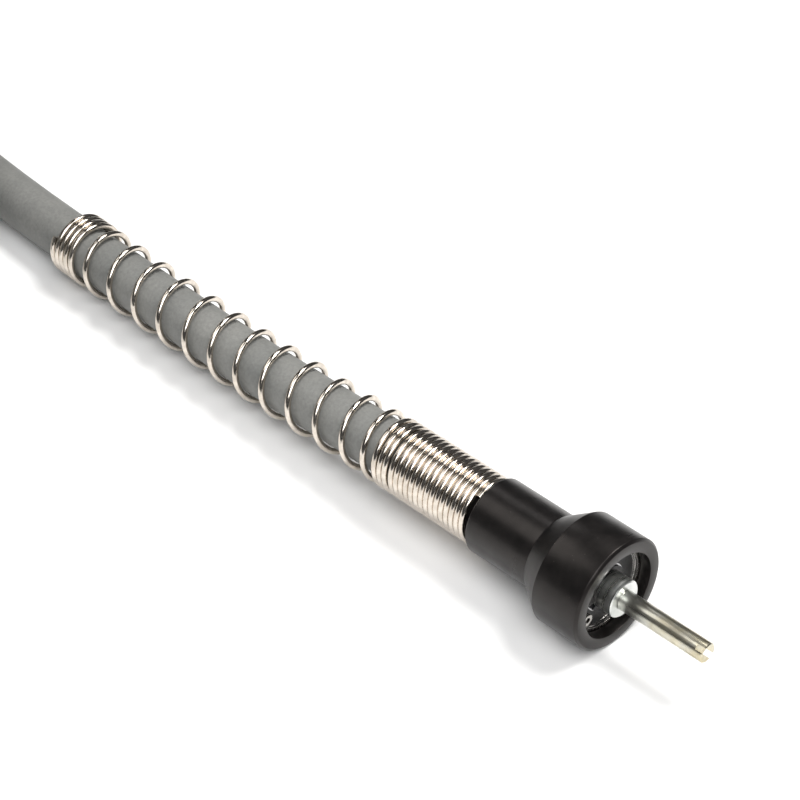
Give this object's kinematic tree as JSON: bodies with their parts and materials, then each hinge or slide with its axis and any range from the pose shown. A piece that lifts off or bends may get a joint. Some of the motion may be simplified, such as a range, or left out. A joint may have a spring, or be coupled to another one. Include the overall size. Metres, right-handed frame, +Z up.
{
  "type": "drain auger",
  "caption": "Machine end of a flexible-shaft drain auger: black coupling body with bearing and slotted drive shaft, wire spring guard and coiled grey hose.",
  "frame": {"origin": "on the drive shaft's axis, at the mouth of the coupling body's recess", "axes": "+X along the drive shaft towards its slotted tip, +Z up from the surface the object lies on"},
  "size_m": [0.4974, 0.2104, 0.1291],
  "materials": {
    "anodised": "satin black anodised",
    "bearing_steel": "ground and polished",
    "seal_rubber": "moulded",
    "cage_steel": "pressed",
    "clip_steel": "phosphated spring steel",
    "zinc": "bright zinc plated",
    "nickel": "bright nickel plated",
    "bronze": "sintered bronze",
    "core_wire": "wound wire, oiled",
    "steel": "turned",
    "ring_rubber": "moulded",
    "hose_rubber": "matte grey",
    "strap_fabric": "woven hook and loop",
    "black_oxide": "black oxide"
  },
  "bodies": {
    "housing": {"coupling_body": "anodised", "bearing_outer_ring": "bearing_steel", "bearing_front_seal": "seal_rubber", "bearing_rear_seal": "seal_rubber", "bore_circlip": "clip_steel", "spindle_bush": "bronze", "hose_stem": "steel", "stem_ring": "ring_rubber", "spring_guard": "nickel", "hose_lead": "hose_rubber", "hose_coil": "hose_rubber", "hose_tail": "hose_rubber", "coil_strap_1": "strap_fabric", "coil_strap_2": "strap_fabric", "coil_strap_3": "strap_fabric", "tip_housing": "anodised", "tip_stem": "steel", "tip_bush": "bronze"},
    "drive_line": {"spindle": "zinc", "bearing_inner_ring": "bearing_steel", "spindle_circlip": "black_oxide", "drive_shaft": "zinc", "drive_pin": "black_oxide", "core_ferrule": "steel", "core_grub_screws": "black_oxide", "flexible_core": "core_wire"},
    "ball_set": {"bearing_balls": "bearing_steel", "bearing_cage": "cage_steel"},
    "tool_socket": {"tip_spindle": "zinc", "tip_set_screw": "black_oxide", "tip_washer": "bronze", "tip_circlip": "black_oxide", "tip_core": "core_wire"}
  },
  "joints": [
    {"name": "drive_spin", "type": "hinge", "parent": "housing", "child": "drive_line", "pos_m": [0, 0, 0], "axis": [1, 0, 0], "continuous": true},
    {"name": "ball_set_spin", "type": "hinge", "parent": "housing", "child": "ball_set", "pos_m": [-0.00925, 0, 0], "axis": [1, 0, 0], "continuous": true},
    {"name": "tool_spin", "type": "hinge", "parent": "housing", "child": "tool_socket", "pos_m": [-0.337, -0.1713, 0.1009], "axis": [1, 0, 0], "continuous": true}
  ],
  "couplings": [
    {"joint": "ball_set_spin", "follows": "drive_spin", "ratio": 0.381},
    {"joint": "tool_spin", "follows": "drive_spin", "ratio": -1}
  ]
}
